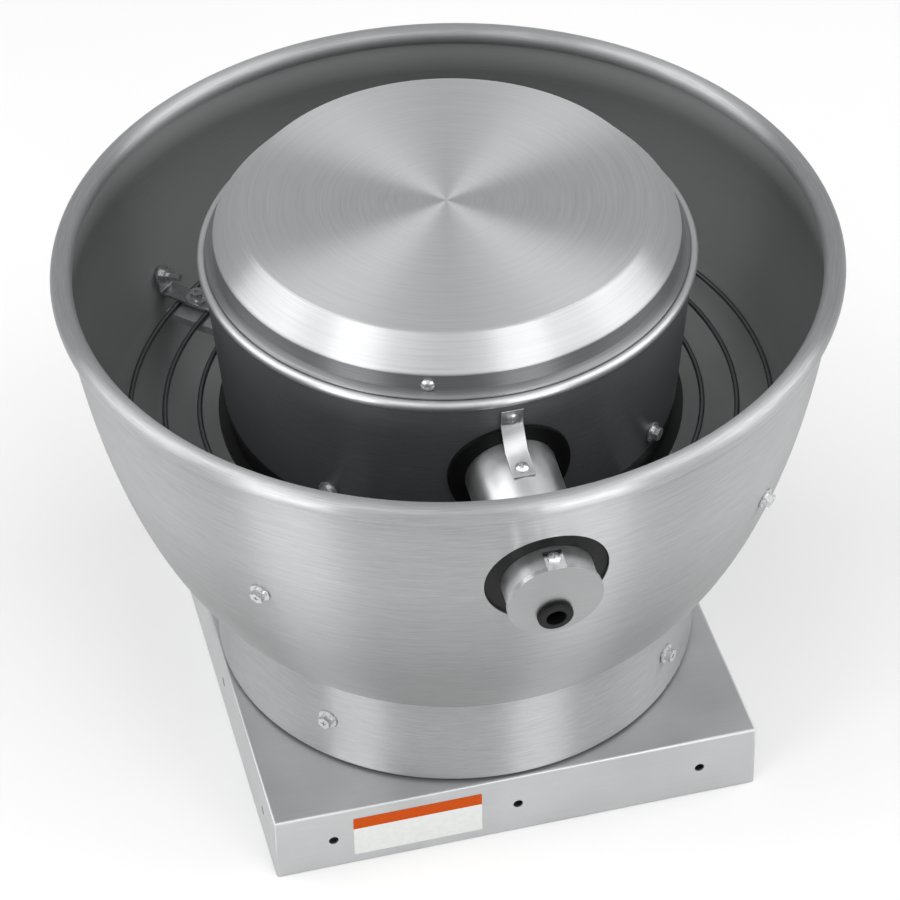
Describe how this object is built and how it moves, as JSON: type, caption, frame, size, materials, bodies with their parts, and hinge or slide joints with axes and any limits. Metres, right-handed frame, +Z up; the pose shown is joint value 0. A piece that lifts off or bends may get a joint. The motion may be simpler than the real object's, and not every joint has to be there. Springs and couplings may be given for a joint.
{
  "type": "roof exhaust fan",
  "caption": "Upblast roof exhaust fan: square curb cap, drum, bowl-shaped windband with rolled rim, round motor tub with lift-off cap, sloping cable conduit and backward-inclined wheel.",
  "frame": {"origin": "centre of the square outline of the curb cap's lower edge, on the fan's axis", "axes": "+Z up along the fan's axis, -Y the way the cable conduit points, +X to the right seen from the conduit"},
  "size_m": [0.632, 0.6403, 0.5066],
  "materials": {
    "curb_sheet": "smooth satin mill finish",
    "spun_aluminium": "spun and finely brushed around the axis",
    "tub_aluminium": "satin, dark with soft reflections",
    "satin_sheet": "satin sheet",
    "conduit_aluminium": "drawn, shiny",
    "black_paint": "satin black",
    "zinc_steel": "bright zinc plated",
    "rivet_aluminium": "dull",
    "galvanised_steel": "galvanised, dull grey",
    "black_rubber": "matt black",
    "ivory_plastic": "matt",
    "motor_paint": "satin dark grey",
    "lamination_steel": "stacked laminations",
    "copper_winding": "varnished copper",
    "ground_steel": "ground",
    "wheel_aluminium": "mill finish"
  },
  "bodies": {
    "housing": {"curb_cap": "curb_sheet", "inlet_cone": "spun_aluminium", "cone_screws": "zinc_steel", "base_drum": "spun_aluminium", "drum_rivets": "rivet_aluminium", "drum_bolts": "zinc_steel", "drum_nuts": "zinc_steel", "windband": "spun_aluminium", "windband_bolts": "zinc_steel", "windband_nuts": "zinc_steel", "bracket_washers": "zinc_steel", "support_brackets": "galvanised_steel", "support_arms": "galvanised_steel", "arm_screws": "zinc_steel", "arm_nuts": "zinc_steel", "guard_rings": "galvanised_steel", "motor_deck": "black_paint", "deck_bolts": "zinc_steel", "motor_tub": "tub_aluminium", "tub_bolts": "zinc_steel", "tub_nuts": "zinc_steel", "cap_clips": "satin_sheet", "conduit_tube": "conduit_aluminium", "conduit_gasket": "black_rubber", "band_gasket": "black_rubber", "conduit_strap": "satin_sheet", "strap_screws": "zinc_steel", "conduit_cover": "satin_sheet", "cover_screw": "zinc_steel", "cable_grommet": "black_rubber", "junction_box": "satin_sheet", "junction_box_lid": "satin_sheet", "terminal_block": "ivory_plastic", "run_capacitor": "conduit_aluminium", "capacitor_clip": "satin_sheet", "motor_feet": "black_rubber", "motor_bolts": "zinc_steel", "motor_lower_bell": "motor_paint", "motor_housing": "motor_paint", "motor_upper_bell": "motor_paint", "motor_studs": "zinc_steel", "stator_core": "lamination_steel", "stator_windings": "copper_winding", "lower_bearing": "ground_steel", "upper_bearing": "ground_steel", "shaft_seal": "black_rubber"},
    "rotor": {"motor_shaft": "ground_steel", "rotor_core": "lamination_steel", "shaft_key": "ground_steel", "slinger": "black_rubber", "wheel_hub": "wheel_aluminium", "hub_rivets": "rivet_aluminium", "wheel_back_plate": "wheel_aluminium", "wheel_blades": "wheel_aluminium", "wheel_inlet_ring": "wheel_aluminium", "wheel_nut": "zinc_steel"},
    "cap": {"motor_cap": "spun_aluminium", "cap_screw": "zinc_steel"}
  },
  "joints": [
    {"name": "rotor_spin", "type": "hinge", "parent": "housing", "child": "rotor", "pos_m": [0, 0, 0.27], "axis": [0, 0, 1], "continuous": true},
    {"name": "cap_lift", "type": "slide", "parent": "housing", "child": "cap", "axis": [0, 0, 1], "range_m": [0, 0.08]}
  ]
}
